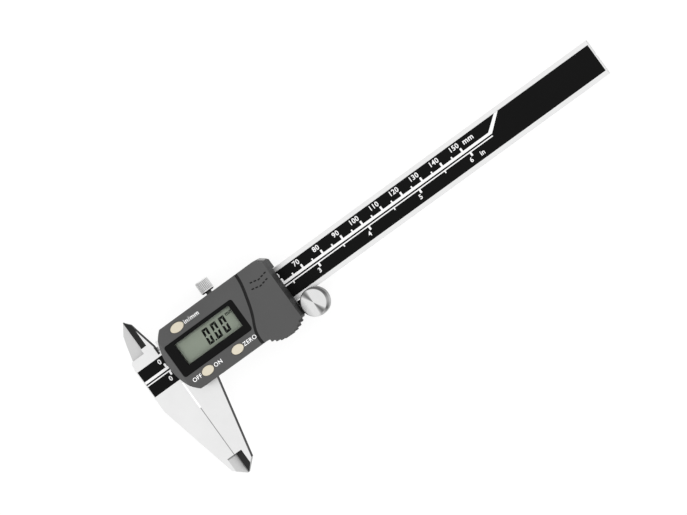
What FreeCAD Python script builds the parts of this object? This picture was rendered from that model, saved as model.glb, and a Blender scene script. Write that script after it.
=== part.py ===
import FreeCAD, Part
import math
import os

# Digital caliper with a 150 mm range, in millimetres, as separate pieces.
# +X runs along the beam in the opening direction, +Y towards the inside jaws and the lock
# screw, +Z out of the display. x = 0 is the line where the closed outside jaws meet, y = 0 is
# the beam's centre line and z = 0 is the back of the rear cover, on which the caliper rests.

V = FreeCAD.Vector
TINY = 1e-6
X_AXIS = V(1, 0, 0)
Y_AXIS = V(0, 1, 0)
Z_AXIS = V(0, 0, 1)

# Clearances
RUN = 0.05              # between surfaces that slide on each other
FIT = 0.02              # radial, around screws and pins in their holes
JAW_GAP = 0.01          # from each outside jaw to the line where they meet

# Beam
TRAVEL = 150.0
BEAM_LEFT = -13.3
BEAM_RIGHT = TRAVEL + 64.0     # room for the slider and the end stop
BEAM_HALF = 8.0
BEAM_BACK = 1.1
BEAM_FRONT = 4.6
SCALE_HALF = 6.15       # half width of the recess for the scale
SCALE_MARGIN = 0.35     # metal left at each end of that recess
STATOR_BACK = 3.75
LABEL_BACK = 4.35

# Outside jaws
JAW_TIP = -52.7
JAW_BEVEL = -48.3       # where the narrow tip starts
RELIEF_END = -20.3      # end of the relief between the jaws
RELIEF = 0.3
VALLEY_TOP = -43.5      # the thinned measuring tips
VALLEY_HALF = 3.55
VALLEY_DEPTH = 2.7

# Inside jaws: two crossed blades in two layers
BLADE_X = -6.15         # where both measuring edges lie when closed
BLADE_TIP = (-6.0, 26.0)
BLADE_STEP = 10.8       # where the blades rise from their shoulders
BLADE_LEFT = -12.25     # the back blade's left side there
LAYER_BACK_TOP = 2.8
LAYER_FRONT_BOTTOM = 2.9
BLADE_BEVEL = 2.85      # width of the front blade's bevel
BACK_BEVEL = 6.0        # width of the back blade's bevel
EDGE_THICK = 0.35       # left at each blade's edge

# Slider frame and rear cover
RAIL_OUTER = 12.0
GIB_SEAT = 8.9
FRAME_RIGHT = 58.1      # the lower rail's end, where the roller bracket sits
UPPER_RAIL_RIGHT = 54.0
LOWER_SEAT_RIGHT = 56.4 # end of the raised part of the lower rail
REAR_COVER_RIGHT = 56.5
REAR_COVER_HALF = 11.8
REAR_COVER_THICK = 1.0
RAIL_TOP = 5.1          # the circuit board's seat
BRIDGE_TOP = 6.1
BRIDGE_BOTTOM = 4.7
BRIDGES = [(7.15, 9.6), (48.6, 52.6)]

# Housing
SHELL_LOW = -14.2       # its straight sides
SHELL_HIGH = 14.7
SHELL_LEFT = 0.55
SHELL_CORNER = 7.3      # where the round left end meets the straight sides
SHELL_RIGHT = 58.05
CHAMFER_X = 3.3         # size of the cut corner along X and along Y
CHAMFER_Y = 2.5
SHELL_BOTTOM = 1.0
SHELL_TOP = 13.6
WALL = 1.5
SKIRT_CLEAR = 4.75      # underside of the housing where jaws, rails and beam pass
SKIRT_LEFT = 7.6        # end of that passage at the left
SKIRT_RIGHT = 54.3      # the right end's rim is as high from here on
PORT_SIDE = 8.2         # but it reaches down again above this, around the data port
LOBE_RIM_LEFT = 42.0    # and so is the thumb grip's
FACET_TOP_X = 4.1       # top edge of the slanted left facet
FACET_SLOPE = 1.0
FACET_INSET = 1.414     # how far the facet's inner face moves along X for each mm of wall
LOBE = (49.4, -6.6)
LOBE_RADIUS = 11.4
RIDGES = 9
RIDGE_PITCH = 10.3      # degrees
RIDGE_MIDDLE = -91.8
RIDGE_GROOVE = 0.75     # radius of the grooves between the ridges
COVER_BOTTOM = 9.0
SEAM = [(46.2, 14.5), (46.0, 10.8), (44.6, 4.9), (41.9, -3.1), (39.3, -9.0), (38.9, -12.0),
        (39.2, -14.5)]
SEAM_GROOVE = 1.3
SEAM_DEPTH = 0.5

# Display
WINDOW = (4.4, 39.0, -7.1, 7.9)
GLASS = (8.8, 36.4, -3.6, 6.3)
LCD = (7.05, 37.95, -7.15, 7.95)
LCD_BOTTOM = 10.5
LCD_TOP = 12.05

# Circuit board
BOARD = (9.8, 48.2, -12.6, 12.6)
BOARD_TOP = BRIDGE_TOP

# Keys: centre and size of each oval cap
KEYS = {
    "key_in_mm": (14.0, 11.3, 6.2, 3.75),
    "key_on_off": (14.0, -9.95, 5.5, 3.7),
    "key_zero": (29.1, -10.05, 5.5, 3.7),
}
KEY_TOP = 14.1
FLANGE_WIDTH = 3.2      # of the ovals that keep the keys in
KEY_STEM_BOTTOM = 7.45

# Battery, an LR44 cell
BATTERY_CENTRE = (50.3, 0.0)
BATTERY_RADIUS = 5.8
BATTERY_BOTTOM = 6.6
BATTERY_HEIGHT = 5.4

# Lock screw, M2.5, along Y
LOCK_X = 30.55
LOCK_Z = 3.3
LOCK_HEAD_RADIUS = 2.975
LOCK_HEAD = (15.8, 21.2)
LOCK_THREAD_RADIUS = 1.25
LOCK_PAD_THICK = 0.8
KNURLS = 26
KNURL_RADIUS = 0.27

# Thumb roller
ROLLER = (64.8, -12.75)
ROLLER_HUB_RADIUS = 4.7
ROLLER_CAP_RADIUS = 6.0
ROLLER_BOTTOM = 1.6
ROLLER_STEP = 4.75
ROLLER_TOP = 8.9
AXLE_RADIUS = 1.2
ARM_HALF = 3.2
ARM_BOTTOM = 0.5
ARM_TOP = 1.3
BRACKET_SCREW_RADIUS = 0.7
BRACKET_SCREW_Y = -9.4
BRACKET_SCREW_Z = 2.9

# Depth rod in the groove in the beam's back
GROOVE_HALF = 1.6
GROOVE_TOP = 2.7
ROD_HALF = 1.3
ROD_LEFT = 20.0

# Fasteners
CASE_SCREWS = [(8.25, -10.2), (8.25, 10.2), (50.6, -10.6), (50.6, 10.6)]
BOARD_SCREWS = [(22.0, -10.6), (22.0, 10.6), (44.0, -10.6), (44.0, 10.6)]
STOP_SCREWS = [(211.3, -5.0), (211.3, 5.0)]
GIB_SCREWS = [16.0, 40.0]
GIB_SCREW_Z = 2.8
SCREW_RADIUS = 0.8

# Data port on the chamfered corner
PORT_X = SHELL_RIGHT - CHAMFER_X / 2
PORT_Y = SHELL_HIGH - CHAMFER_Y / 2
PORT_ANGLE = math.degrees(math.atan2(CHAMFER_X, CHAMFER_Y))
PORT_BOTTOM = 1.8
PORT_HEIGHT = 6.9
PORT_PADS = 4
PORT_PITCH = 1.4        # of the contact pads


def box(x0, x1, y0, y1, z0, z1):
    """A box between two corners."""
    return Part.makeBox(x1 - x0, y1 - y0, z1 - z0, V(x0, y0, z0))


def disc(x, y, radius, z0, z1):
    """A cylinder standing along Z."""
    return Part.makeCylinder(radius, z1 - z0, V(x, y, z0))


def bar_x(radius, x0, x1, y, z):
    """A cylinder along X."""
    return Part.makeCylinder(radius, x1 - x0, V(x0, y, z), X_AXIS)


def bar_y(radius, y0, y1, x, z):
    """A cylinder along Y."""
    return Part.makeCylinder(radius, y1 - y0, V(x, y0, z), Y_AXIS)


def prism(points, z0, z1):
    """A polygon in plan, extruded along Z."""
    corners = [V(x, y, z0) for x, y in points]
    wire = Part.makePolygon(corners + corners[:1])
    return Part.Face(wire).extrude(V(0, 0, z1 - z0))


def section_prism(points, y0, y1):
    """A polygon in the XZ plane, extruded along Y."""
    corners = [V(x, y0, z) for x, z in points]
    wire = Part.makePolygon(corners + corners[:1])
    return Part.Face(wire).extrude(V(0, y1 - y0, 0))


def rounded(x0, x1, y0, y1, radius, z0, z1):
    """A box with rounded upright edges."""
    plate = box(x0, x1, y0, y1, z0, z1)
    upright = [e for e in plate.Edges if e.tangentAt(0).cross(Z_AXIS).Length < TINY]
    return plate.makeFillet(radius, upright)


def oval(x, y, length, width, z0, z1):
    """An ellipse in plan, extruded along Z."""
    edge = Part.Ellipse(V(x, y, z0), length / 2, width / 2).toShape()
    return Part.Face(Part.Wire([edge])).extrude(V(0, 0, z1 - z0))


def edges_at(shape, z):
    """The edges that lie wholly at one level."""
    return [e for e in shape.Edges if abs(e.BoundBox.ZMin - z) < TINY and abs(e.BoundBox.ZMax - z) < TINY]


def joined(shapes):
    """All shapes fused into one solid."""
    return shapes[0].multiFuse(shapes[1:]).removeSplitter()


def countersunk(x, y, z_head, z_end, head_radius=1.6):
    """A flat-headed screw driven in along +Z, with a slot in its head."""
    head = Part.makeCone(head_radius, SCREW_RADIUS, 0.8, V(x, y, z_head))
    shank = disc(x, y, SCREW_RADIUS, z_head, z_end)
    slot = box(x - head_radius, x + head_radius, y - 0.2, y + 0.2, z_head - 0.1, z_head + 0.35)
    return joined([head, shank]).cut(slot)


def countersink(x, y, z_face, z_end, head_radius=1.6):
    """The hole for such a screw."""
    cone = Part.makeCone(head_radius + 0.08, SCREW_RADIUS + 0.08, 0.82, V(x, y, z_face))
    return cone.fuse(disc(x, y, SCREW_RADIUS + 0.08, z_face, z_end))


# ---------------------------------------------------------------- beam and scale

def jaw_valley(side):
    """The wedge that thins an outside jaw's tip; side is +1 right of the line, -1 left."""
    high = BEAM_FRONT + 0.2
    reach = VALLEY_HALF * (VALLEY_DEPTH + 0.2) / VALLEY_DEPTH
    low = BEAM_FRONT - VALLEY_DEPTH
    points = [(0, low), (side * reach, high), (-side, high), (-side, low)]
    return section_prism(points, JAW_TIP - 1, VALLEY_TOP)


def fixed_outside_jaw():
    """The beam's lower jaw, left of the closing line."""
    points = [
        (BEAM_LEFT, -BEAM_HALF), (BEAM_LEFT, -13.0), (-4.8, JAW_BEVEL), (-0.4, JAW_TIP),
        (-JAW_GAP, JAW_TIP), (-JAW_GAP, RELIEF_END), (-RELIEF, RELIEF_END + 0.3), (-RELIEF, -BEAM_HALF),
    ]
    return prism(points, BEAM_BACK, BEAM_FRONT).cut(jaw_valley(-1))


def fixed_inside_blade():
    """The beam's upper jaw: the front layer, with its knife edge facing -X."""
    points = [
        (-13.0, BEAM_HALF), (-13.0, 9.6), (BLADE_LEFT, BLADE_STEP), (BLADE_X, BLADE_STEP),
        (BLADE_X, 25.8), BLADE_TIP, (-3.6, 23.3), (-0.75, 10.8), (-1.0, BEAM_HALF),
    ]
    blade = prism(points, LAYER_FRONT_BOTTOM, BEAM_FRONT)
    thin = LAYER_FRONT_BOTTOM + EDGE_THICK
    slope = (BEAM_FRONT - thin) / BLADE_BEVEL
    right = BLADE_X + BLADE_BEVEL
    wedge = [(BLADE_X - 1, thin - slope), (right + 0.5, BEAM_FRONT + slope / 2), (BLADE_X - 1, 6.0)]
    return blade.cut(section_prism(wedge, 12.9, 27.0))


def make_beam():
    body = box(BEAM_LEFT, BEAM_RIGHT, -BEAM_HALF, BEAM_HALF, BEAM_BACK, BEAM_FRONT)
    beam = joined([body, fixed_outside_jaw(), fixed_inside_blade()])
    recess = box(BEAM_LEFT + SCALE_MARGIN, BEAM_RIGHT - SCALE_MARGIN, -SCALE_HALF, SCALE_HALF,
                 STATOR_BACK, BEAM_FRONT + 1)
    groove = box(ROD_LEFT - 12, BEAM_RIGHT + 1, -GROOVE_HALF, GROOVE_HALF, 0, GROOVE_TOP)
    beam = beam.cut(recess).cut(groove)
    for x, y in STOP_SCREWS:
        beam = beam.cut(disc(x, y, SCREW_RADIUS + FIT, 1.0, 2.8))
    return beam


def scale_strip(z0, z1, gap):
    """A strip that fills the beam's recess between two levels."""
    return box(BEAM_LEFT + SCALE_MARGIN + gap, BEAM_RIGHT - SCALE_MARGIN - gap,
               -SCALE_HALF + gap, SCALE_HALF - gap, z0, z1)


def make_end_stop():
    """The plate behind the beam's end that stops the slider and keeps the rod in its groove."""
    plate = rounded(209.0, 213.6, -7.0, 7.0, 0.8, 0.1, BEAM_BACK)
    for x, y in STOP_SCREWS:
        plate = plate.cut(countersink(x, y, 0.1, 1.2, 1.5))
    return plate


# ---------------------------------------------------------------- slider frame

def moving_outside_jaw():
    """The slider's lower jaw, right of the closing line."""
    top = -BEAM_HALF - RUN
    points = [
        (RELIEF, top), (14.4, top), (13.1, -13.7), (5.2, JAW_BEVEL), (0.4, JAW_TIP), (JAW_GAP, JAW_TIP),
        (JAW_GAP, RELIEF_END), (RELIEF, RELIEF_END + 0.3),
    ]
    return prism(points, BEAM_BACK, BEAM_FRONT).cut(jaw_valley(1))


def moving_inside_blade():
    """The slider's upper jaw: the back layer, with its knife edge facing +X."""
    points = [
        (0.8, 8.15), (BLADE_LEFT, 8.15), (BLADE_LEFT, BLADE_STEP), (-10.65, 17.4), (-9.5, 21.4),
        (-6.9, 25.3), BLADE_TIP, (BLADE_X, 25.8), (BLADE_X, 13.2), (-3.6, 10.0), (0.8, 10.0),
    ]
    blade = prism(points, BEAM_BACK, LAYER_BACK_TOP)
    thin = BEAM_BACK + EDGE_THICK
    slope = (LAYER_BACK_TOP - thin) / BACK_BEVEL
    wedge = [(BLADE_X + 1, thin - slope), (BLADE_X - BACK_BEVEL - 0.5, LAYER_BACK_TOP + slope / 2),
             (BLADE_X - BACK_BEVEL - 0.5, 6.0), (BLADE_X + 1, 6.0)]
    return blade.cut(section_prism(wedge, BLADE_STEP, 27.0))


def make_slider_frame():
    rail_start = RELIEF + 0.2
    parts = [
        box(rail_start, UPPER_RAIL_RIGHT, GIB_SEAT, RAIL_OUTER, REAR_COVER_THICK, BEAM_FRONT),
        box(rail_start, FRAME_RIGHT, -RAIL_OUTER, -BEAM_HALF - RUN, REAR_COVER_THICK, BEAM_FRONT),
        box(BRIDGES[0][0], UPPER_RAIL_RIGHT, GIB_SEAT, RAIL_OUTER, BEAM_FRONT, RAIL_TOP),
        box(BRIDGES[0][0], LOWER_SEAT_RIGHT, -RAIL_OUTER, -BEAM_HALF - RUN, BEAM_FRONT, RAIL_TOP),
        moving_outside_jaw(),
        moving_inside_blade(),
    ]
    for x0, x1 in BRIDGES:
        parts.append(box(x0, x1, -RAIL_OUTER, RAIL_OUTER, BRIDGE_BOTTOM, BRIDGE_TOP))
    frame = joined(parts)
    for x, y in CASE_SCREWS:
        frame = frame.cut(disc(x, y, SCREW_RADIUS + 0.1, 0, 8))
    for x, y in BOARD_SCREWS:
        frame = frame.cut(disc(x, y, SCREW_RADIUS + FIT, 2.0, 8))
    for x in GIB_SCREWS:
        frame = frame.cut(bar_y(SCREW_RADIUS + FIT, 8.5, 12.5, x, GIB_SCREW_Z))
    frame = frame.cut(bar_y(LOCK_THREAD_RADIUS + FIT, 8.5, 12.5, LOCK_X, LOCK_Z))
    return frame.cut(bar_x(BRACKET_SCREW_RADIUS + FIT, 56.0, 59.0, BRACKET_SCREW_Y, BRACKET_SCREW_Z))


def make_rear_cover():
    plate = rounded(0, REAR_COVER_RIGHT, -REAR_COVER_HALF, REAR_COVER_HALF, 1.0, 0, REAR_COVER_THICK)
    for x, y in CASE_SCREWS:
        plate = plate.cut(countersink(x, y, 0, 1.2))
    return plate


def make_depth_rod():
    """The rod, its foot on the rear cover and the relief at its measuring end."""
    rod = box(ROD_LEFT, BEAM_RIGHT - FIT, -ROD_HALF, ROD_HALF, 1.2, GROOVE_TOP - 0.1)
    foot = box(ROD_LEFT, ROD_LEFT + 9, -ROD_HALF, ROD_HALF, REAR_COVER_THICK, 1.2)
    relief = box(BEAM_RIGHT - 2.5, BEAM_RIGHT + 1, 0.5, 2.0, 1.0, 3.0)
    return joined([rod, foot]).cut(relief)


def make_gib_strip():
    return box(5.5, UPPER_RAIL_RIGHT - 0.5, BEAM_HALF + RUN, GIB_SEAT - RUN, 1.15, BEAM_FRONT - 0.1)


def make_gib_screws():
    """Headless screws that set the gib, each with a slot."""
    screws = []
    for x in GIB_SCREWS:
        screw = bar_y(SCREW_RADIUS, GIB_SEAT - RUN, 11.8, x, GIB_SCREW_Z)
        slot = box(x - 1, x + 1, 11.3, 12, GIB_SCREW_Z - 0.15, GIB_SCREW_Z + 0.15)
        screws.append(screw.cut(slot))
    return Part.makeCompound(screws)


# ---------------------------------------------------------------- housing

def shell_outline(inset):
    """The housing's outline in plan at z = 0, moved inwards by inset."""
    left = Part.Arc(V(SHELL_CORNER, SHELL_LOW, 0), V(SHELL_LEFT, 0, 0), V(SHELL_CORNER, SHELL_HIGH, 0))
    drop = math.sqrt(LOBE_RADIUS ** 2 - (SHELL_RIGHT - LOBE[0]) ** 2)
    lobe_right = V(SHELL_RIGHT, LOBE[1] - drop, 0)
    reach = math.sqrt(LOBE_RADIUS ** 2 - (LOBE[1] - SHELL_LOW) ** 2)
    lobe_left = V(LOBE[0] - reach, SHELL_LOW, 0)
    lobe = Part.Arc(lobe_right, V(LOBE[0], LOBE[1] - LOBE_RADIUS, 0), lobe_left)
    stops = [V(SHELL_CORNER, SHELL_HIGH, 0), V(SHELL_RIGHT - CHAMFER_X, SHELL_HIGH, 0)]
    stops += [V(SHELL_RIGHT, SHELL_HIGH - CHAMFER_Y, 0), lobe_right]
    edges = [left.toShape()]
    edges += [Part.makeLine(stops[i], stops[i + 1]) for i in range(3)]
    edges += [lobe.toShape(), Part.makeLine(lobe_left, V(SHELL_CORNER, SHELL_LOW, 0))]
    face = Part.Face(Part.Wire(edges))
    if inset:
        face = face.makeOffset2D(-inset)
    return face


def shell_block(inset, z0, z1):
    """The housing's outline as a solid between two levels, with the slanted left facet."""
    face = shell_outline(inset)
    face.translate(V(0, 0, z0))
    block = face.extrude(V(0, 0, z1 - z0))
    top_x = FACET_TOP_X + inset * FACET_INSET
    points = [(top_x + 1, SHELL_TOP + FACET_SLOPE), (top_x - 9, SHELL_TOP - 9 * FACET_SLOPE),
              (top_x - 9, SHELL_TOP + FACET_SLOPE)]
    return block.cut(section_prism(points, -20, 20))


def right_of_seam(shift, z0, z1):
    """Everything right of the curved seam, which is moved along X by shift."""
    curve = Part.BSplineCurve()
    curve.interpolate([V(x + shift, y, z0) for x, y in SEAM])
    first = V(SEAM[0][0] + shift, SEAM[0][1], z0)
    last = V(SEAM[-1][0] + shift, SEAM[-1][1], z0)
    far = [V(last.x, -25, z0), V(90, -25, z0), V(90, 25, z0), V(first.x, 25, z0)]
    path = [last] + far + [first]
    edges = [curve.toShape()]
    edges += [Part.makeLine(path[i], path[i + 1]) for i in range(len(path) - 1)]
    return Part.Face(Part.Wire(edges)).extrude(V(0, 0, z1 - z0))


def seam_groove():
    """The decorative groove along the seam."""
    half = SEAM_GROOVE / 2
    z0 = SHELL_TOP - SEAM_DEPTH
    return right_of_seam(-half, z0, SHELL_TOP + 1).cut(right_of_seam(half, z0 - 1, SHELL_TOP + 2))


def thumb_grooves():
    """The grooves between the ridges of the thumb grip."""
    grooves = []
    for i in range(RIDGES):
        angle = math.radians(RIDGE_MIDDLE + RIDGE_PITCH * (i - (RIDGES - 1) / 2))
        x = LOBE[0] + (LOBE_RADIUS + 0.1) * math.cos(angle)
        y = LOBE[1] + (LOBE_RADIUS + 0.1) * math.sin(angle)
        grooves.append(disc(x, y, RIDGE_GROOVE, 0, SHELL_TOP + 1))
    return Part.makeCompound(grooves)


def at_port(shape):
    """Turns a shape so that its +X is the port's outward normal, and puts it there."""
    shape.rotate(V(0, 0, 0), Z_AXIS, PORT_ANGLE)
    shape.translate(V(PORT_X, PORT_Y, 0))
    return shape


def make_front_shell():
    solid = shell_block(0, SHELL_BOTTOM, SHELL_TOP)
    hollow = shell_block(WALL, 0, SHELL_TOP - WALL)
    shell = solid.cut(hollow).cut(right_of_seam(-RUN, COVER_BOTTOM - RUN, SHELL_TOP + 1))
    ledge = right_of_seam(-0.8, 11.3, 12.1).cut(right_of_seam(0.9, 11.0, 12.3))
    inner = shell_block(WALL + RUN, 0, SHELL_TOP - WALL)
    shell = shell.fuse(ledge.common(inner))
    for x, y in CASE_SCREWS[:2]:
        shell = shell.fuse(disc(x, y, 1.5, BRIDGE_TOP, SHELL_TOP - 1))
    for x, y in CASE_SCREWS[2:]:
        side = 1 if y > 0 else -1
        near = side * 9.3
        far = side * 20
        block = box(x - 1.8, x + 1.8, min(near, far), max(near, far), BRIDGE_TOP, 8.6)
        shell = shell.fuse(block.common(shell_block(0.5, 0, SHELL_TOP)))
    for x, y in CASE_SCREWS:
        shell = shell.cut(disc(x, y, SCREW_RADIUS + FIT, 0, 8.4))
    shell = shell.cut(box(-3, SKIRT_LEFT, -16, 16, 0, SKIRT_CLEAR))
    shell = shell.cut(box(0, 15.4, -16, -12.3, 0, SKIRT_CLEAR))
    shell = shell.cut(box(SKIRT_RIGHT, 60, -20, PORT_SIDE, 0, SKIRT_CLEAR))
    shell = shell.cut(box(LOBE_RIM_LEFT, 60, -20, -12.1, 0, SKIRT_CLEAR))
    shell = shell.cut(bar_y(1.45, 12, 16, LOCK_X, LOCK_Z))
    shell = shell.cut(rounded(*WINDOW, 1.2, SHELL_TOP - 3, SHELL_TOP + 1))
    for x, y, length, width in KEYS.values():
        shell = shell.cut(oval(x, y, length + 0.3, width + 0.3, SHELL_TOP - 3, SHELL_TOP + 1))
    port = at_port(box(-3, 1, -1.15, 1.15, PORT_BOTTOM + 0.5, PORT_BOTTOM + PORT_HEIGHT - 0.5))
    return shell.cut(port).cut(seam_groove()).cut(thumb_grooves()).removeSplitter()


def make_battery_cover():
    solid = shell_block(0, COVER_BOTTOM, SHELL_TOP)
    hollow = shell_block(WALL, COVER_BOTTOM - 1, SHELL_TOP - WALL + RUN)
    cover = solid.cut(hollow).common(right_of_seam(RUN, COVER_BOTTOM - 1, SHELL_TOP + 1))
    return cover.cut(seam_groove()).cut(thumb_grooves()).removeSplitter()


def make_display_bezel():
    """The black frame around the display, let into the housing's top."""
    x0, x1, y0, y1 = WINDOW
    frame = rounded(x0 + RUN, x1 - RUN, y0 + RUN, y1 - RUN, 1.15, SHELL_TOP - WALL + RUN, SHELL_TOP - RUN)
    return frame.cut(rounded(*GLASS, 0.3, SHELL_TOP - 3, SHELL_TOP + 1))


def make_display_window():
    x0, x1, y0, y1 = GLASS
    return rounded(x0 + FIT, x1 - FIT, y0 + FIT, y1 - FIT, 0.28, SHELL_TOP - 1.1, SHELL_TOP - 0.5)


def make_lcd_holder():
    """The plastic ring that holds the display and its rubber connectors on the board."""
    x0, x1, y0, y1 = LCD
    ring = box(x0 - 0.9, x1 + 0.9, y0 - 0.45, y1 + 0.45, BOARD_TOP, LCD_TOP - RUN)
    return ring.cut(box(x0 - RUN, x1 + RUN, y0 - RUN, y1 + RUN, BOARD_TOP - 1, LCD_TOP + 1))


def make_zebra_connectors():
    """Two striped rubber blocks that join the display to the board."""
    x0, x1, y0, y1 = LCD
    low = box(x0 + 1, x1 - 1, y0 + 0.2, y0 + 2.0, BOARD_TOP, LCD_BOTTOM)
    high = box(x0 + 1, x1 - 1, y1 - 2.0, y1 - 0.2, BOARD_TOP, LCD_BOTTOM)
    return Part.makeCompound([low, high])


# ---------------------------------------------------------------- board and battery

def make_circuit_board():
    x0, x1, y0, y1 = BOARD
    board = box(x0, x1, y0, y1, RAIL_TOP, BOARD_TOP)
    for x, y in BOARD_SCREWS:
        board = board.cut(disc(x, y, SCREW_RADIUS + 0.1, 0, 8))
    return board


def make_board_screws():
    screws = []
    for x, y in BOARD_SCREWS:
        head = disc(x, y, 1.4, BOARD_TOP, BOARD_TOP + 0.9)
        shank = disc(x, y, SCREW_RADIUS, 2.2, BOARD_TOP)
        slot = box(x - 2, x + 2, y - 0.2, y + 0.2, BOARD_TOP + 0.5, BOARD_TOP + 2)
        screws.append(joined([head, shank]).cut(slot))
    return Part.makeCompound(screws)


def make_key_domes():
    """The snap domes on the board, one under each key."""
    domes = []
    for x, y, _length, _width in KEYS.values():
        base = disc(x, y, 1.25, BOARD_TOP, BOARD_TOP + 0.3)
        crown = Part.makeCone(1.25, 0.7, 0.5, V(x, y, BOARD_TOP + 0.3))
        domes.append(joined([base, crown]))
    return Part.makeCompound(domes)


def make_key(name):
    """An oval key: cap, retaining flange and the stem that reaches its dome."""
    x, y, length, width = KEYS[name]
    flange_top = SHELL_TOP - WALL - 0.1
    cap = oval(x, y, length, width, flange_top - 0.8, KEY_TOP)
    cap = cap.makeFillet(0.35, edges_at(cap, KEY_TOP))
    flange = oval(x, y, length + 1.4, FLANGE_WIDTH, flange_top - 0.8, flange_top)
    stem = disc(x, y, 1.0, KEY_STEM_BOTTOM, flange_top)
    return joined([cap, flange, stem])


def make_battery():
    x, y = BATTERY_CENTRE
    can = disc(x, y, BATTERY_RADIUS, BATTERY_BOTTOM + 0.5, BATTERY_BOTTOM + BATTERY_HEIGHT)
    can = can.makeFillet(0.4, edges_at(can, BATTERY_BOTTOM + BATTERY_HEIGHT))
    base = disc(x, y, BATTERY_RADIUS - 1.0, BATTERY_BOTTOM, BATTERY_BOTTOM + 0.5)
    return joined([can, base])


def make_negative_contact():
    """A sprung disc with two legs, between the board and the cell."""
    x, y = BATTERY_CENTRE
    ring = disc(x, y, 3.5, BATTERY_BOTTOM - 0.3, BATTERY_BOTTOM).cut(disc(x, y, 2.2, 6, 7))
    leg = box(46.0, 48.0, -1.0, 1.0, BOARD_TOP, BATTERY_BOTTOM)
    return joined([ring, leg])


def make_positive_contact():
    """An upright blade on the board that touches the cell's side."""
    x = BATTERY_CENTRE[0] - BATTERY_RADIUS
    blade = box(x - 0.4, x - FIT, -1.5, 1.5, BOARD_TOP, 11.0)
    foot = box(x - 2.4, x - FIT, -1.5, 1.5, BOARD_TOP, BOARD_TOP + 0.3)
    return joined([blade, foot])


# ---------------------------------------------------------------- lock screw

def make_lock_screw():
    """A knurled head, a neck and an M2.5 thread."""
    y0, y1 = LOCK_HEAD
    head = bar_y(LOCK_HEAD_RADIUS, y0 + 0.5, y1, LOCK_X, LOCK_Z)
    taper = Part.makeCone(LOCK_HEAD_RADIUS - 0.5, LOCK_HEAD_RADIUS, 0.5, V(LOCK_X, y0, LOCK_Z), Y_AXIS)
    thread = bar_y(LOCK_THREAD_RADIUS, GIB_SEAT + LOCK_PAD_THICK, y0, LOCK_X, LOCK_Z)
    screw = joined([head, taper, thread])
    for i in range(KNURLS):
        angle = 2 * math.pi * i / KNURLS
        x = LOCK_X + (LOCK_HEAD_RADIUS + 0.1) * math.cos(angle)
        z = LOCK_Z + (LOCK_HEAD_RADIUS + 0.1) * math.sin(angle)
        screw = screw.cut(bar_y(KNURL_RADIUS, y0 + 0.8, y1 - 0.4, x, z))
    return screw


def make_lock_pad():
    """The brass disc between the screw's end and the gib; it travels but doesn't turn."""
    y0 = GIB_SEAT - RUN + 0.01
    y1 = GIB_SEAT + LOCK_PAD_THICK - FIT
    return bar_y(LOCK_THREAD_RADIUS - 0.05, y0, y1, LOCK_X, LOCK_Z)


# ---------------------------------------------------------------- thumb roller

def make_thumb_roller():
    """A turned roller: the hub rolls on the beam's edge, the wide cap laps over its front."""
    x, y = ROLLER
    hub = disc(x, y, ROLLER_HUB_RADIUS, ROLLER_BOTTOM, ROLLER_STEP)
    cap = disc(x, y, ROLLER_CAP_RADIUS, ROLLER_STEP, ROLLER_TOP)
    cap = cap.makeFillet(0.6, edges_at(cap, ROLLER_TOP))
    bore = disc(x, y, AXLE_RADIUS + RUN, ROLLER_BOTTOM - 1, 7.6)
    return joined([hub, cap]).cut(bore)


def make_roller_bracket():
    """An angle bracket: the upright flange is screwed to the rail's end, the arm holds the axle."""
    x, y = ROLLER
    flange = box(FRAME_RIGHT, FRAME_RIGHT + 1.0, -14.2, -8.4, ARM_BOTTOM, BEAM_FRONT)
    arm = joined([box(FRAME_RIGHT, x, y - ARM_HALF, y + ARM_HALF, ARM_BOTTOM, ARM_TOP),
                  disc(x, y, ARM_HALF, ARM_BOTTOM, ARM_TOP)])
    bracket = joined([flange, arm])
    bracket = bracket.cut(disc(x, y, AXLE_RADIUS + FIT, 0, 2))
    x0 = FRAME_RIGHT - 1
    x1 = FRAME_RIGHT + 2
    return bracket.cut(bar_x(BRACKET_SCREW_RADIUS + 0.1, x0, x1, BRACKET_SCREW_Y, BRACKET_SCREW_Z))


def make_bracket_screw():
    x = FRAME_RIGHT + 1.0
    head = bar_x(1.0, x, x + 0.7, BRACKET_SCREW_Y, BRACKET_SCREW_Z)
    shank = bar_x(BRACKET_SCREW_RADIUS, 56.3, x, BRACKET_SCREW_Y, BRACKET_SCREW_Z)
    slot = box(x + 0.4, x + 2, BRACKET_SCREW_Y - 0.15, BRACKET_SCREW_Y + 0.15, 0, 6)
    return joined([head, shank]).cut(slot)


def make_roller_axle():
    """The pin riveted into the arm, with a collar that spaces the roller."""
    x, y = ROLLER
    return joined([disc(x, y, AXLE_RADIUS, ARM_BOTTOM, 7.4), disc(x, y, 2.0, ARM_TOP, ROLLER_BOTTOM - RUN)])


# ---------------------------------------------------------------- data port

def make_port_cover():
    """The light cover on the chamfered corner: a flange outside and a plug in the opening."""
    flange = box(0.0, 0.3, -1.5, 1.5, PORT_BOTTOM, PORT_BOTTOM + PORT_HEIGHT)
    plug = box(-1.1, 0.0, -1.05, 1.05, PORT_BOTTOM + 0.6, PORT_BOTTOM + PORT_HEIGHT - 0.6)
    return at_port(joined([flange, plug]))


def make_port_contacts():
    """The small board behind the opening, with four raised pads."""
    board = box(-WALL - 0.5, -WALL, -1.3, 1.3, PORT_BOTTOM, PORT_BOTTOM + PORT_HEIGHT)
    pads = [board]
    for i in range(PORT_PADS):
        z = PORT_BOTTOM + 1.1 + i * PORT_PITCH
        pads.append(box(-WALL - 0.1, -WALL + 0.2, -0.6, 0.6, z, z + 0.5))
    return at_port(joined(pads))


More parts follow.
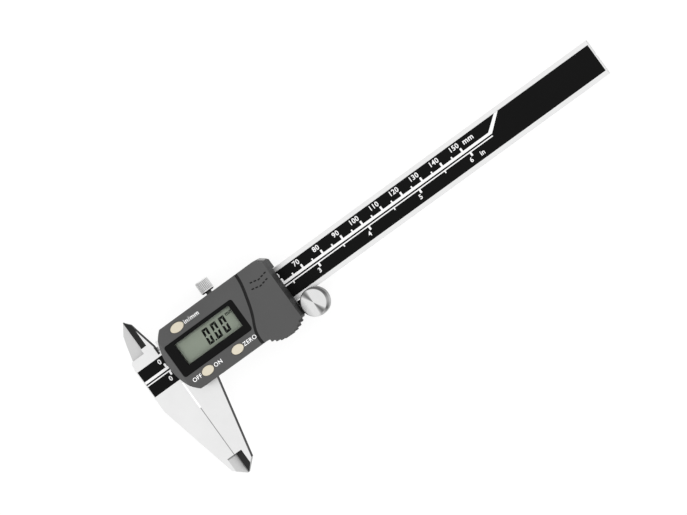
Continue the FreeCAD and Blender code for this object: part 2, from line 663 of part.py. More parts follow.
def build():
    """Every piece by its name."""
    x, y = (LCD[0] + LCD[1]) / 2, 0.4
    stop_screws = [countersunk(sx, sy, 0.12, 2.6, 1.5) for sx, sy in STOP_SCREWS]
    case_screws = [countersunk(sx, sy, FIT, 8.2) for sx, sy in CASE_SCREWS]
    parts = {
        "beam": make_beam(),
        "scale_stator": scale_strip(STATOR_BACK, LABEL_BACK, RUN),
        "scale_label": scale_strip(LABEL_BACK, BEAM_FRONT, FIT),
        "beam_end_stop": make_end_stop(),
        "end_stop_screws": Part.makeCompound(stop_screws),
        "slider_frame": make_slider_frame(),
        "gib_strip": make_gib_strip(),
        "gib_screws": make_gib_screws(),
        "rear_cover": make_rear_cover(),
        "case_screws": Part.makeCompound(case_screws),
        "depth_rod": make_depth_rod(),
        "front_shell": make_front_shell(),
        "battery_cover": make_battery_cover(),
        "display_bezel": make_display_bezel(),
        "display_window": make_display_window(),
        "lcd_panel": box(LCD[0], LCD[1], LCD[2], LCD[3], LCD_BOTTOM, LCD_TOP),
        "lcd_holder": make_lcd_holder(),
        "zebra_connectors": make_zebra_connectors(),
        "circuit_board": make_circuit_board(),
        "board_screws": make_board_screws(),
        "sensor_plate": box(BOARD[0] + 0.4, 44.0, -7.4, 7.4, RAIL_TOP - 0.25, RAIL_TOP),
        "measuring_chip": joined([disc(x, y, 3.6, BOARD_TOP, BOARD_TOP + 0.5),
                                  Part.makeCone(3.6, 2.4, 0.6, V(x, y, BOARD_TOP + 0.5))]),
        "key_domes": make_key_domes(),
        "battery": make_battery(),
        "battery_contact_negative": make_negative_contact(),
        "battery_contact_positive": make_positive_contact(),
        "lock_screw": make_lock_screw(),
        "lock_pad": make_lock_pad(),
        "thumb_roller": make_thumb_roller(),
        "roller_bracket": make_roller_bracket(),
        "bracket_screw": make_bracket_screw(),
        "roller_axle": make_roller_axle(),
        "data_port_cover": make_port_cover(),
        "data_port_contacts": make_port_contacts(),
    }
    for name in KEYS:
        parts[name] = make_key(name)
    return parts


os.makedirs("parts", exist_ok=True)
for node, shape in build().items():
    shape.exportStep(f"parts/{node}.step")
    print(node, "valid" if shape.isValid() else "INVALID", len(shape.Solids), round(shape.Volume, 1))
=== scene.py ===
import math

import bmesh
import bpy
from mathutils import Matrix, Vector


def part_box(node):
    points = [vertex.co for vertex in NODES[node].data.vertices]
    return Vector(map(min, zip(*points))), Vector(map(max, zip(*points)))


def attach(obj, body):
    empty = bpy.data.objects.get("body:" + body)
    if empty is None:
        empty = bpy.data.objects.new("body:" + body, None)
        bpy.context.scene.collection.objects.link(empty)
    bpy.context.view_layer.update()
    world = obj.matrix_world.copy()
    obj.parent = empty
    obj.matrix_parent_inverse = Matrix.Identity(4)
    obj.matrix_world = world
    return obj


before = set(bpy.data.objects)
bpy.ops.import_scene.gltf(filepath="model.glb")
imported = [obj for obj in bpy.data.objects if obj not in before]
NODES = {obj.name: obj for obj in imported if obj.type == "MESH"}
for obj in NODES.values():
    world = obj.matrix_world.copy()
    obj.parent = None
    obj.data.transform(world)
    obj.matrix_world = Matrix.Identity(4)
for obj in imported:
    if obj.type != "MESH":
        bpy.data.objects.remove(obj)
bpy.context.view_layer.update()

MM = 0.001

# ---------------------------------------------------------------- places, in millimetres

LABEL_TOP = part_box("scale_label")[1].z / MM
SHELL_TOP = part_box("front_shell")[1].z / MM
LCD_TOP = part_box("lcd_panel")[1].z / MM
INK = 0.02                  # thickness of printed ink
PRINT_ZERO = -1.63          # where the printed scales start, at the housing's left edge
INCH = 25.4

# ---------------------------------------------------------------- places, in metres

FILM_LOW, FILM_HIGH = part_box("scale_label")
ROLLER_LOW, ROLLER_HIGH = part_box("thumb_roller")
ROLLER = (ROLLER_LOW + ROLLER_HIGH) / 2
LOCK_LOW, LOCK_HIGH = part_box("lock_screw")
LOCK_HEAD_LOW = LOCK_HIGH.y - 0.0054
LCD_LOW, LCD_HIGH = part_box("lcd_panel")

FAN_ANGLE = math.radians(104)           # the diameter on which the roller's painted dark reflection fans lie
RIM_START = (0.0052, 0.0055)            # radius where the roller's rim of painted shade starts
RING_WAVE = 38000                       # radians per metre between its turning rings
RIB_DEPTH = (0.00002, 0.00008)          # below the lock screw's surface, between its ribs
HEAD_FOOT = (0.0005, 0.0003)            # above the lower end of its head, where the painted shade starts
LCD_ENDS = (0.0125, 0.0142)             # from the display's middle to its ends with painted shade
LCD_SHADE = (0.0027, 0.0013)            # below its upper edge, where the bezel's shade starts

# Edges of the painted shade and painted light marks on the steel. Each pair runs from where a mark is absent
# to where it is full.
END_SIDES = (0.21, 0.205)               # the painted shade on the beam's sides stops before its right end
JAW_SIDE_END = (0.02, 0.018)            # the jaws' long right sides, painted dark, lie left of this
CLOSING_GAP = (0.0004, 0.0006)          # not the faces that meet at the closing line
CONTACT_HALF = (0.00022, 0.00014)       # the thin painted shade line where the jaws meet
CONTACT_TOP = (-0.0202, -0.0204)
RELIEF_HALF = (0.0006, 0.0004)          # painted light from emission in the slot between the jaws, above that line
RELIEF_BOTTOM = (-0.0203, -0.0201)
RELIEF_TOP = (-0.0076, -0.0079)
VALLEY_TOP = (-0.0430, -0.0434)         # painted shade at the upper end of the hollow in the jaws' tips
VALLEY_BOTTOM = (-0.0443, -0.0436)
BLADE_FRONT = (0.0035, 0.004)           # painted shade on the front blade's right border, for a narrow bevel the model lacks
BLADE_RIGHT = (-0.0002, -0.0004)
BLADE_SLANT = (0.975, 0.2223)           # the direction across that border's slanted part
BLADE_BORDER = (0.00118, 0.00133)
BLADE_BORDER_LOW = (0.0103, 0.0106)
FOOT_BOTTOM = (0.0069, 0.0071)          # the upright foot of that painted shade border
FOOT_TOP = (0.0107, 0.0104)
FOOT_LEFT = (-0.00145, -0.0013)


# ---------------------------------------------------------------- materials

RANGE_SOCKETS = "From Min", "From Max", "To Min", "To Max"


def tint(colour, factor):
    return tuple(c * factor for c in colour)


def new_material(name, colour, roughness, **sockets):
    """A Principled material; sockets are constants set on the shader itself."""
    material = bpy.data.materials.new(name)
    material.use_nodes = True
    shader = material.node_tree.nodes["Principled BSDF"]
    shader.inputs["Base Color"].default_value = (*colour, 1)
    shader.inputs["Roughness"].default_value = roughness
    for socket, value in sockets.items():
        shader.inputs[socket.replace("_", " ")].default_value = value
    return material


class Tree:
    """Short calls for the nodes of one material."""

    def __init__(self, material):
        self.nodes = material.node_tree.nodes
        self.links = material.node_tree.links
        self.shader = self.nodes["Principled BSDF"]
        self.coords = self.nodes.new("ShaderNodeTexCoord")

    def scaled(self, scale, rotation):
        """Object coordinates, turned and times scale."""
        node = self.nodes.new("ShaderNodeMapping")
        node.inputs["Scale"].default_value = scale
        node.inputs["Rotation"].default_value = rotation
        self.links.new(self.coords.outputs["Object"], node.inputs["Vector"])
        return node.outputs["Vector"]

    def noise(self, scale, detail=4, stretch=(1, 1, 1), rotation=(0, 0, 0)):
        node = self.nodes.new("ShaderNodeTexNoise")
        node.inputs["Scale"].default_value = scale
        node.inputs["Detail"].default_value = detail
        self.links.new(self.scaled(stretch, rotation), node.inputs["Vector"])
        return node.outputs["Fac"]

    def remap(self, value, low, high, to_low=0, to_high=1):
        """to_low where value is low, to_high where it is high, and clamped beyond them."""
        node = self.nodes.new("ShaderNodeMapRange")
        for socket, number in zip(RANGE_SOCKETS, (low, high, to_low, to_high)):
            node.inputs[socket].default_value = number
        self.links.new(value, node.inputs["Value"])
        return node.outputs["Result"]

    def math(self, operation, a, b=0.0):
        node = self.nodes.new("ShaderNodeMath")
        node.operation = operation
        for socket, value in zip(node.inputs, (a, b)):
            if isinstance(value, (int, float)):
                socket.default_value = value
            else:
                self.links.new(value, socket)
        return node.outputs["Value"]

    def both(self, *masks):
        """Where all masks are 1."""
        result = masks[0]
        for mask in masks[1:]:
            result = self.math("MULTIPLY", result, mask)
        return result

    def size(self, value):
        """The value without its sign."""
        return self.math("ABSOLUTE", value)

    def length(self, a, b):
        squares = self.math("ADD", self.math("MULTIPLY", a, a), self.math("MULTIPLY", b, b))
        return self.math("SQRT", squares)

    def mix(self, factor, first, second):
        """Colour first where factor is 0, second where it is 1."""
        node = self.nodes.new("ShaderNodeMix")
        node.data_type = "RGBA"
        self.links.new(factor, node.inputs["Factor"])
        for socket, value in zip((node.inputs[6], node.inputs[7]), (first, second)):
            if isinstance(value, tuple):
                socket.default_value = (*value, 1)
            else:
                self.links.new(value, socket)
        return node.outputs[2]

    def bump(self, height, strength, distance):
        node = self.nodes.new("ShaderNodeBump")
        node.inputs["Strength"].default_value = strength
        node.inputs["Distance"].default_value = distance
        self.links.new(height, node.inputs["Height"])
        self.links.new(node.outputs["Normal"], self.shader.inputs["Normal"])

    def xyz(self, output="Object"):
        """The X, Y and Z of a texture coordinate, which for Object is the place on the part in metres."""
        node = self.nodes.new("ShaderNodeSeparateXYZ")
        self.links.new(self.coords.outputs[output], node.inputs["Vector"])
        return node.outputs

    def set(self, socket, value):
        self.links.new(value, self.shader.inputs[socket])


def ground_steel(name, colour, roughness):
    """Satin ground steel with fine lines along X and faint stains.

    It stands in for a room that is bright above and dark on the left with painted shade: bevels that face
    right are painted duller, those that face left and the jaws' long right edges are painted dark.
    """
    material = new_material(name, colour, roughness, Metallic=1.0)
    tree = Tree(material)
    stain = tree.noise(90, 5)
    grain = tree.noise(900, 3, (1, 60, 1))
    place, normal = tree.xyz(), tree.xyz("Normal")
    x, y, z = place["X"], place["Y"], place["Z"]
    beside = tree.size(x)       # distance from the line where the outside jaws meet
    # painted shade by facing: these masks darken bevels that face right or left, upright sides and the jaws'
    # long right sides
    upright = tree.remap(tree.size(normal["Z"]), 0.5, 0.2)
    right_bevel_shade = tree.remap(normal["X"], 0.08, 0.2)
    left_bevel_shade = tree.remap(normal["X"], -0.15, -0.35)
    side = tree.both(upright, tree.remap(x, *END_SIDES))
    jaw_side_shade = tree.both(upright, tree.remap(normal["X"], 0.7, 0.82), tree.remap(x, *JAW_SIDE_END),
                         tree.remap(beside, *CLOSING_GAP))
    # painted shade at the upper end of the hollow in the jaws' tips
    valley_shade = tree.both(tree.remap(y, *VALLEY_BOTTOM), tree.remap(y, *VALLEY_TOP),
                       tree.remap(normal["X"], 0.4, 0.5), tree.remap(normal["Z"], 0.4, 0.5))
    # painted shade: a thin dark line where the jaws meet
    contact = tree.both(tree.remap(beside, *CONTACT_HALF), tree.remap(normal["Z"], 0.1, 0.3),
                        tree.remap(y, *CONTACT_TOP))
    # painted light: the slot between the jaws is made bright by emission
    relief_light = tree.both(tree.remap(beside, *RELIEF_HALF), upright, tree.remap(y, *RELIEF_BOTTOM),
                       tree.remap(y, *RELIEF_TOP))
    # painted shade on the front blade's right border and its foot, standing for a narrow bevel the model
    # lacks
    slant = tree.math("ADD", *(tree.math("MULTIPLY", c, part) for c, part in zip((x, y), BLADE_SLANT)))
    front = tree.both(tree.remap(z, *BLADE_FRONT), tree.remap(x, *BLADE_RIGHT))
    border = tree.both(front, tree.remap(y, *BLADE_BORDER_LOW), tree.remap(slant, *BLADE_BORDER))
    foot = tree.both(front, tree.remap(y, *FOOT_BOTTOM), tree.remap(y, *FOOT_TOP), tree.remap(x, *FOOT_LEFT))

    base = tree.mix(tree.remap(stain, 0.35, 0.7), colour, tint(colour, 0.96))
    # painted shade in the base colour: duller right bevels, darker upright sides, dark left bevels and dark
    # jaw sides
    base = tree.mix(right_bevel_shade, base, tint(colour, 0.74))
    base = tree.mix(side, base, tint(colour, 0.35))
    base = tree.mix(tree.math("MAXIMUM", left_bevel_shade, jaw_side_shade), base, tint(colour, 0.05))
    base = tree.mix(valley_shade, base, tint(colour, 0.2))
    base = tree.mix(contact, base, tint(colour, 0.4))
    base = tree.mix(tree.math("MAXIMUM", border, foot), base, tint(colour, 0.05))
    tree.set("Base Color", base)
    # the painted dark jaw sides also mirror with a duller tint
    tree.set("Specular Tint", tree.mix(jaw_side_shade, (1.0, 1.0, 1.0), (0.6, 0.6, 0.6)))
    # painted light in the slot between the jaws
    tree.set("Emission Strength", tree.math("MULTIPLY", relief_light, 0.84))
    tree.shader.inputs["Emission Color"].default_value = (1, 1, 1, 1)
    tree.set("Roughness", tree.remap(grain, 0.3, 0.7, roughness - 0.05, roughness + 0.09))
    tree.bump(grain, 0.1, 0.00002)
    return material


def moulded_plastic(name, colour, roughness, grain=2600, depth=0.00003, shine=0.3):
    """Moulded plastic with a fine spark-eroded grain and slight variation."""
    material = new_material(name, colour, roughness, Specular_IOR_Level=shine)
    tree = Tree(material)
    cloud = tree.noise(60, 3)
    fine = tree.noise(grain, 2)
    tree.set("Base Color", tree.mix(tree.remap(cloud, 0.3, 0.7), tint(colour, 0.95), tint(colour, 1.05)))
    tree.set("Roughness", tree.remap(fine, 0.3, 0.7, roughness - 0.06, roughness + 0.08))
    tree.bump(fine, 0.2, depth)
    return material


def housing_plastic(name, colour):
    """Dark grey moulded plastic: painted light on the slanted left facet, painted shade on its sides and in
    the seam.
    """
    material = new_material(name, colour, 0.6, Specular_IOR_Level=0.25)
    tree = Tree(material)
    cloud = tree.noise(60, 3)
    fine = tree.noise(2600, 2)
    place, normal = tree.xyz(), tree.xyz("Normal")
    base = tree.mix(tree.remap(cloud, 0.3, 0.7), tint(colour, 0.96), tint(colour, 1.04))
    # painted light on the slanted left facet, painted shade on the upright sides and in the seam
    facet = tree.both(tree.remap(normal["X"], -0.3, -0.6), tree.remap(normal["Z"], 0.3, 0.6))
    side = tree.remap(tree.size(normal["Z"]), 0.9, 0.4)
    base = tree.mix(facet, base, tint(colour, 1.7))
    base = tree.mix(side, base, tint(colour, 0.36))
    seam = tree.both(tree.remap(place["Z"], (SHELL_TOP - 0.2) * MM, (SHELL_TOP - 0.35) * MM),
                     tree.remap(normal["Z"], 0.85, 0.95))
    base = tree.mix(seam, base, tint(colour, 0.2))
    tree.set("Base Color", base)
    tree.set("Roughness", tree.remap(fine, 0.3, 0.7, 0.52, 0.7))
    tree.bump(fine, 0.2, 0.00003)
    return material


def plain_metal(name, colour, roughness, scale=700):
    """Bright metal with scattered fine scratches."""
    material = new_material(name, colour, roughness, Metallic=1.0)
    tree = Tree(material)
    scratch = tree.noise(scale, 4, (1, 8, 1), (0, 0, 0.6))
    tree.set("Base Color", tree.mix(scratch, tint(colour, 0.85), colour))
    tree.set("Roughness", tree.remap(scratch, 0.3, 0.7, roughness - 0.06, roughness + 0.1))
    tree.bump(scratch, 0.1, 0.00002)
    return material


def turned_metal(name, colour):
    """The roller: fine turning rings, two painted dark reflection fans on one diameter, painted shade on the
    left and on the rim.
    """
    material = new_material(name, colour, 0.3, Metallic=1.0)
    tree = Tree(material)
    place = tree.xyz()
    dx = tree.math("SUBTRACT", place["X"], ROLLER.x - 0.0004)
    dy = tree.math("SUBTRACT", place["Y"], ROLLER.y + 0.0002)
    radius = tree.length(dx, dy)
    angle = tree.math("ARCTAN2", dy, dx)
    fan_side = tree.size(tree.math("SINE", tree.math("SUBTRACT", angle, FAN_ANGLE)))
    fan_reflection = tree.remap(fan_side, 0.0, 0.35, 1, 0)
    fan_reflection = tree.math("MULTIPLY", fan_reflection, tree.math("SUBTRACT", 2.0, fan_reflection))
    # painted shade on the face's left half, towards the housing, then the painted reflection fans
    face = tree.mix(tree.remap(dx, -0.0025, -0.006), colour, tint(colour, 0.55))
    face = tree.mix(fan_reflection, face, tint(colour, 0.22))
    # painted shade on the rim, with painted highlight arcs
    rim_highlight_arc = tree.remap(tree.size(tree.math("ADD", angle, 0.42)), 0.5, 0.1)
    rim_low_highlight = tree.remap(angle, -1.0, -1.4)
    rim = tree.mix(rim_highlight_arc, tint(colour, 0.17), tint(colour, 0.45))
    rim = tree.mix(rim_low_highlight, rim, tint(colour, 0.6))
    edge = tree.both(tree.remap(radius, *RIM_START), tree.remap(dx, -0.0015, 0.001))
    tree.set("Base Color", tree.mix(edge, face, rim))
    rings = tree.math("SINE", tree.math("MULTIPLY", radius, RING_WAVE))
    wear = tree.noise(500, 2)
    tree.set("Roughness", tree.remap(wear, 0.3, 0.7, 0.26, 0.38))
    tree.bump(rings, 0.12, 0.00003)
    return material


def knurled_metal(name, colour):
    """The lock screw: painted shade between the knurl's ribs, under the head and on the neck."""
    material = new_material(name, colour, 0.3, Metallic=1.0)
    tree = Tree(material)
    place = tree.xyz()
    centre = (LOCK_LOW + LOCK_HIGH) / 2
    radius = (LOCK_HIGH.x - LOCK_LOW.x) / 2
    reach = tree.length(tree.math("SUBTRACT", place["X"], centre.x),
                        tree.math("SUBTRACT", place["Z"], centre.z))
    rib_groove_shade = tree.remap(reach, *(radius - depth for depth in RIB_DEPTH))
    under = tree.remap(place["Y"], *(LOCK_HEAD_LOW + height for height in HEAD_FOOT))
    wear = tree.noise(900, 3)
    base = tree.mix(wear, tint(colour, 0.9), colour)
    # painted shade in the grooves between the ribs, then under the head and on the neck
    base = tree.mix(rib_groove_shade, base, tint(colour, 0.44))
    base = tree.mix(under, base, tint(colour, 0.08))
    tree.set("Base Color", base)
    tree.set("Roughness", tree.remap(wear, 0.3, 0.7, 0.24, 0.4))
    tree.bump(wear, 0.1, 0.00002)
    return material


def ink(name, colour, shine=0.2, painted_light=0.0):
    """Printed ink with faint mottling, and painted light from emission that keeps it bright in shade."""
    material = new_material(name, colour, 0.6, Specular_IOR_Level=shine, Emission_Color=(1, 1, 1, 1),
                            Emission_Strength=painted_light)
    tree = Tree(material)
    mottle = tree.noise(1500, 3)
    tree.set("Base Color", tree.mix(mottle, tint(colour, 0.94), colour))
    tree.bump(mottle, 0.1, 0.00001)
    return material


def display_glass(name):
    """Reflective liquid crystal: green-grey, with painted shade of the bezel towards its ends and its upper
    edge.
    """
    material = new_material(name, (0.25, 0.28, 0.22), 0.4, Specular_IOR_Level=0.1)
    tree = Tree(material)
    place = tree.xyz()
    side = tree.size(tree.math("SUBTRACT", place["X"], (LCD_LOW.x + LCD_HIGH.x) / 2))
    speck = tree.noise(3000, 2)
    base = tree.mix(speck, (0.298, 0.339, 0.276), (0.327, 0.370, 0.303))
    # painted shade of the bezel at the display's ends and upper edge
    ends = tree.remap(side, *LCD_ENDS)
    top = tree.remap(place["Y"], *(LCD_HIGH.y - depth for depth in LCD_SHADE))
    tree.set("Base Color", tree.mix(tree.math("MAXIMUM", ends, top), base, (0.173, 0.192, 0.162)))
    tree.bump(speck, 0.05, 0.00001)
    return material


def clear_plastic(name):
    """The display's clear window, with faint wiping marks."""
    material = new_material(name, (0.01, 0.01, 0.01), 0.05, Alpha=0.03, IOR=1.49)
    tree = Tree(material)
    marks = tree.noise(120, 3, (1, 5, 1))
    tree.set("Roughness", tree.remap(marks, 0.3, 0.7, 0.03, 0.10))
    return material


STEEL = ground_steel("stainless_ground", (0.87, 0.87, 0.87), 0.34)
HOUSING = housing_plastic("housing_grey", (0.098, 0.098, 0.098))
BLACK_FILM = moulded_plastic("scale_film_black", (0.0035, 0.0035, 0.0035), 0.5, 1800, 0.00001, 0.09)
# the white inks get painted light from emission, so shade near the housing leaves them white
WHITE_INK = ink("ink_white", (0.96, 0.96, 0.96), painted_light=0.12)
LABEL_INK = ink("ink_label", (0.96, 0.96, 0.96), painted_light=0.55)
LCD_INK = ink("lcd_black", (0.004, 0.004, 0.004), 0.03)
LCD_FAINT = ink("lcd_faint", (0.02, 0.023, 0.019), 0.03)
MARK_INK = ink("mark_dark", (0.012, 0.012, 0.012), 0.05)

FINISHES = {
    STEEL: ["beam", "slider_frame", "depth_rod", "beam_end_stop"],
    plain_metal("rear_plate", (0.72, 0.72, 0.71), 0.34): ["rear_cover"],
    HOUSING: ["front_shell", "battery_cover"],
    BLACK_FILM: ["scale_label"],
    moulded_plastic("bezel_black", (0.004, 0.004, 0.004), 0.35, 800, 0.00001, 0.09): ["display_bezel"],
    clear_plastic("window_clear"): ["display_window"],
    display_glass("lcd_green_grey"): ["lcd_panel"],
    moulded_plastic("key_ivory", (0.79, 0.725, 0.58), 0.5, 1500, 0.00001): [
        "key_in_mm", "key_on_off", "key_zero"],
    plain_metal("screw_zinc", (0.72, 0.72, 0.72), 0.3): [
        "end_stop_screws", "case_screws", "gib_screws", "board_screws", "roller_axle"],
    knurled_metal("knurled_bright", (0.95, 0.95, 0.95)): ["lock_screw"],
    plain_metal("brass_plain", (0.72, 0.52, 0.24), 0.32): ["gib_strip", "lock_pad"],
    plain_metal("spring_plain", (0.66, 0.66, 0.65), 0.3): [
        "key_domes", "battery_contact_negative", "battery_contact_positive"],
    plain_metal("cell_nickel", (0.74, 0.74, 0.72), 0.22): ["battery"],
    plain_metal("contact_gold", (0.83, 0.62, 0.28), 0.28): ["data_port_contacts"],
    moulded_plastic("bracket_black", (0.008, 0.008, 0.008), 0.5, 900, 0.00001, 0.1): [
        "roller_bracket", "bracket_screw"],
    turned_metal("roller_turned", (0.78, 0.78, 0.78)): ["thumb_roller"],
    moulded_plastic("port_light_grey", (0.25, 0.25, 0.25), 0.5): ["data_port_cover"],
    moulded_plastic("board_green", (0.03, 0.17, 0.06), 0.4, 700, 0.00001): ["circuit_board"],
    moulded_plastic("scale_board", (0.30, 0.20, 0.07), 0.4, 700, 0.00001): ["scale_stator", "sensor_plate"],
    moulded_plastic("chip_resin", (0.015, 0.015, 0.015), 0.3, 900, 0.00002): ["measuring_chip"],
    moulded_plastic("holder_white", (0.70, 0.70, 0.68), 0.5): ["lcd_holder"],
    moulded_plastic("connector_rubber", (0.10, 0.11, 0.12), 0.7): ["zebra_connectors"],
}


SOFT_EDGES = {              # width of the bevel on a node's sharp edges, in millimetres
    "front_shell": 0.25, "battery_cover": 0.25, "display_bezel": 0.12, "beam": 0.12, "slider_frame": 0.1,
    "roller_bracket": 0.1, "rear_cover": 0.12, "data_port_cover": 0.08,
}


def soften(node, width):
    weld = node.modifiers.new("weld", "WELD")
    weld.merge_threshold = 0.000001
    bevel = node.modifiers.new("bevel", "BEVEL")
    bevel.width = width * MM
    bevel.segments = 2
    bevel.limit_method = "ANGLE"
    bevel.angle_limit = math.radians(40)
    node.data.polygons.foreach_set("use_smooth", [False] * len(node.data.polygons))


def dress_cad():
    """Gives every CAD node its material and softens the hard edges of the larger ones."""
    for material, names in FINISHES.items():
        for name in names:
            node = NODES[name]
            node.data.materials.clear()
            node.data.materials.append(material)
            if name in SOFT_EDGES:
                soften(node, SOFT_EDGES[name])


# ---------------------------------------------------------------- printed pieces

def finish_piece(name, build, material, body):
    """Makes the built mesh a piece that rides on a body."""
    bmesh.ops.recalc_face_normals(build, faces=build.faces)
    mesh = bpy.data.meshes.new(name)
    build.to_mesh(mesh)
    build.free()
    mesh.materials.append(material)
    piece = bpy.data.objects.new(name, mesh)
    bpy.context.scene.collection.objects.link(piece)
    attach(piece, body)


def plates(name, polygons, z, material, body):
    """Printed plates on level z, one for each polygon in plan, joined into one piece."""
    build = bmesh.new()
    for points in polygons:
        low = [build.verts.new((x * MM, y * MM, z * MM)) for x, y in points]
        high = [build.verts.new((x * MM, y * MM, (z + INK) * MM)) for x, y in points]
        build.faces.new(reversed(low))
        build.faces.new(high)
        for i in range(len(points)):
            j = (i + 1) % len(points)
            build.faces.new((low[i], low[j], high[j], high[i]))
    finish_piece(name, build, material, body)


def rectangle(x0, x1, y0, y1):
    return [(x0, y0), (x1, y0), (x1, y1), (x0, y1)]


def lettering(name, words, z, material, body, bold):
    """Printed text on level z. words holds (text, side, x, bottom y, height); x is that side's place."""
    build = bmesh.new()
    for text, side, x, y, height in words:
        curve = bpy.data.curves.new(name, "FONT")
        curve.body = text
        curve.size = 1.0
        curve.offset = bold
        curve.space_character = 1.06
        curve.extrude = 0.5
        curve.resolution_u = 3
        holder = bpy.data.objects.new(name, curve)
        mesh = bpy.data.meshes.new_from_object(holder)
        bpy.data.objects.remove(holder)
        bpy.data.curves.remove(curve)
        places = [vertex.co for vertex in mesh.vertices]
        start = (min if side == "left" else max)(place.x for place in places)
        low, high = min(place.y for place in places), max(place.y for place in places)
        factor = height * MM / (high - low)
        move = Matrix.Translation((x * MM, y * MM, (z + INK / 2) * MM))
        scale = Matrix.Diagonal((factor, factor, INK * MM, 1))
        mesh.transform(move @ scale @ Matrix.Translation((-start, -low, 0)))
        build.from_mesh(mesh)
        bpy.data.meshes.remove(mesh)
    bmesh.ops.remove_doubles(build, verts=build.verts, dist=1e-7)
    finish_piece(name, build, material, body)


THICK_LINE = (0.1, 1.2)
THIN_LINE = (-1.03, -0.56)
LINE_END = 161.2            # where the thick line turns up to the edge
BEND_SLOPE = 1.3            # its run along X for each mm of rise
FILM_MARGIN = 0.05          # from the print to the film's edge

# (half width, height) of the ticks
CENTIMETRE_TICK = (0.42, 1.55)
HALF_CENTIMETRE_TICK = (0.3, 0.85)
INCH_TICK = (0.42, 1.5)
HALF_INCH_TICK = (0.27, 0.85)


def scale_lines():
    """The long lines of both scales, with their ticks."""
    left = FILM_LOW.x / MM + FILM_MARGIN
    top = FILM_HIGH.y / MM - FILM_MARGIN
    low, high = THICK_LINE
    turn = (top - high) * BEND_SLOPE
    thick = [(left, low), (LINE_END + 1.1, low), (LINE_END + turn + 1.9, top), (LINE_END + turn, top),
             (LINE_END, high), (left, high)]
    shapes = [thick, rectangle(left, LINE_END + 0.8, *THIN_LINE)]
    for step in range(31):
        x = PRINT_ZERO + 5 * step
        half, height = HALF_CENTIMETRE_TICK if step % 2 else CENTIMETRE_TICK
        shapes.append(rectangle(x - half, x + half, high, high + height))
    for step in range(13):
        x = PRINT_ZERO + INCH / 2 * step
        half, height = HALF_INCH_TICK if step % 2 else INCH_TICK
        shapes.append(rectangle(x - half, x + half, THIN_LINE[0] - height, THIN_LINE[0]))
    plates("scale_lines", shapes, LABEL_TOP, WHITE_INK, "beam")


def scale_numbers():
    words = []
    for step in range(16):
        shift = 0.15 if step else -0.5      # the 0 stands clear of the housing
        words.append((str(10 * step), "right", PRINT_ZERO + 10 * step + shift, 3.35, 2.15))
    for step in range(7):
        words.append((str(step), "right", PRINT_ZERO + INCH * step - 0.65, -4.6, 2.05))
    words.append(("mm", "left", 150.6, 2.9, 1.6))
    words.append(("in", "left", 153.8, -4.7, 1.9))
    lettering("scale_numbers", words, LABEL_TOP, WHITE_INK, "beam", 0.02)


def key_labels():
    words = [
        ("in/mm", "left", 17.6, 10.4, 1.95),
        ("OFF", "right", 10.75, -10.75, 1.7),
        ("ON", "left", 17.3, -10.75, 1.7),
        ("ZERO", "left", 32.1, -10.8, 1.7),
    ]
    lettering("key_labels", words, SHELL_TOP, LABEL_INK, "slider", -0.004)


# ---------------------------------------------------------------- display

DIGIT_LOW, DIGIT_HIGH = -2.25, 4.6
DIGIT_WIDTH = 2.75
DIGIT_PLACES = (20.3, 24.5, 28.7)
STROKE = 1.0
BAR_GAP = 0.06              # from each end of a bar to the next bar's end
SLANT = 0.08                # the lean along X for each mm of height
POINT = (3.25, 3.85, DIGIT_LOW, DIGIT_LOW + 0.65)       # the decimal point, from the first digit's x


def slanted(points, x):
    """Leans digit shapes to the right about their foot."""
    return [(x + px + (py - DIGIT_LOW) * SLANT, py) for px, py in points]


def zero_digit(x):
    """The six lit bars of a seven-bar 0, with gaps between them."""
    w, s, gap = DIGIT_WIDTH, STROKE, BAR_GAP
    low, high = DIGIT_LOW, DIGIT_HIGH
    middle = (low + high) / 2
    bars = [
        [(gap, high), (w - gap, high), (w - s - gap, high - s), (s + gap, high - s)],
        [(s + gap, low + s), (w - s - gap, low + s), (w - gap, low), (gap, low)],
    ]
    for y0, y1 in ((low, middle), (middle, high)):
        outer0 = y0 + gap if y0 == low else y0 + gap * 1.5
        outer1 = y1 - gap if y1 == high else y1 - gap * 1.5
        inner0 = y0 + s + gap if y0 == low else outer0 + s / 2
        inner1 = y1 - s - gap if y1 == high else outer1 - s / 2
        bars.append([(0, outer0), (s, inner0), (s, inner1), (0, outer1)])
        bars.append([(w, outer0), (w, outer1), (w - s, inner1), (w - s, inner0)])
    return [slanted(bar, x) for bar in bars]


def display_reading():
    shapes = []
    for x in DIGIT_PLACES:
        shapes += zero_digit(x)
    shapes.append(slanted(rectangle(*POINT), DIGIT_PLACES[0]))
    plates("display_digits", shapes, LCD_TOP, LCD_INK, "slider")
    words = [("mm", "left", 32.8, 3.4, 1.25)]
    lettering("display_unit", words, LCD_TOP, LCD_FAINT, "slider", 0.03)


DASH_ROWS = ((49.5, 7.6), (48.6, 5.1))      # the first dash's x and the middle dash's y
DASH_PITCH = 1.72
DASH_RISE = 0.36            # for each step away from the middle dash
DASH_HALF = (0.55, 0.27)


def cover_marks():
    """Two rows of short dark dashes that show which way the battery cover slides."""
    shapes = []
    half, thick = DASH_HALF
    for left, middle in DASH_ROWS:
        for step in range(5):
            x = left + DASH_PITCH * step
            y = middle + DASH_RISE * abs(step - 2)
            tilt = 0.1 if step < 2 else -0.05
            shapes.append([(x - half, y + tilt - thick), (x + half, y - tilt - thick),
                           (x + half, y - tilt + thick), (x - half, y + tilt + thick)])
    plates("cover_marks", shapes, SHELL_TOP, MARK_INK, "battery_cover")


# ---------------------------------------------------------------- camera, lights, floor

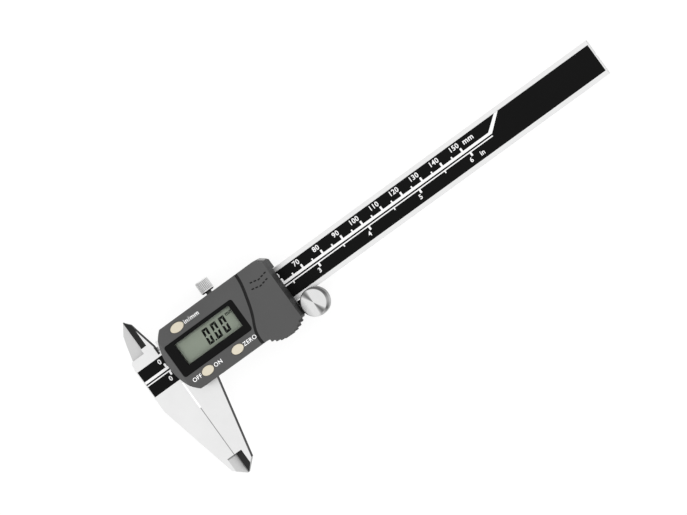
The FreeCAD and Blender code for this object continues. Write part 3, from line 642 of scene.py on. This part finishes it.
def make_camera():
    """A long lens far in front, 12.5 degrees to the right, with the beam rising to the right."""
    target = Vector((84.06, -5.09, 4)) * MM
    back = Vector((0.2222, -0.0158, 1)).normalized()
    distance = 1654.3 * MM
    rise = math.radians(35.98)
    along = (Vector((1, 0, 0)) - back * back.x).normalized()
    across = back.cross(along)
    right = along * math.cos(rise) - across * math.sin(rise)
    up = back.cross(right)
    data = bpy.data.cameras.new("camera")
    data.lens = 217.17
    data.sensor_width = 36
    data.clip_end = 20
    camera = bpy.data.objects.new("camera", data)
    pose = Matrix((right, up, back)).transposed().to_4x4()
    camera.matrix_world = Matrix.Translation(target + back * distance) @ pose
    bpy.context.scene.collection.objects.link(camera)
    bpy.context.scene.camera = camera


def make_floor():
    build = bmesh.new()
    bmesh.ops.create_grid(build, x_segments=2, y_segments=2, size=3.0)
    mesh = bpy.data.meshes.new("floor")
    build.to_mesh(mesh)
    build.free()
    material = new_material("floor_white", (0.2, 0.2, 0.2), 0.8, Specular_IOR_Level=0.0,
                            Emission_Color=(1, 1, 1, 1), Emission_Strength=0.86)
    tree = Tree(material)
    tree.set("Base Color", tree.mix(tree.noise(8, 3), (0.19, 0.19, 0.19), (0.21, 0.21, 0.21)))
    mesh.materials.append(material)
    floor = bpy.data.objects.new("floor", mesh)
    floor.location = (0, 0, -0.0002)        # just under the part's lowest face
    bpy.context.scene.collection.objects.link(floor)


def make_light():
    """An even white room that is darker on the far left."""
    world = bpy.data.worlds.new("studio")
    world.use_nodes = True
    bpy.context.scene.world = world
    nodes, links = world.node_tree.nodes, world.node_tree.links
    background = nodes["Background"]
    coords = nodes.new("ShaderNodeTexCoord")
    split = nodes.new("ShaderNodeSeparateXYZ")
    ramp = nodes.new("ShaderNodeMapRange")
    links.new(coords.outputs["Generated"], split.inputs["Vector"])
    links.new(split.outputs["X"], ramp.inputs["Value"])
    for socket, number in zip(RANGE_SOCKETS, (-1.0, -0.5, 0.5, 1.0)):
        ramp.inputs[socket].default_value = number
    links.new(ramp.outputs["Result"], background.inputs["Strength"])
    background.inputs["Color"].default_value = (1, 1, 1, 1)
    bpy.context.scene.view_settings.view_transform = "Standard"


make_camera()
dress_cad()
scale_lines()
scale_numbers()
key_labels()
display_reading()
cover_marks()
make_floor()
make_light()
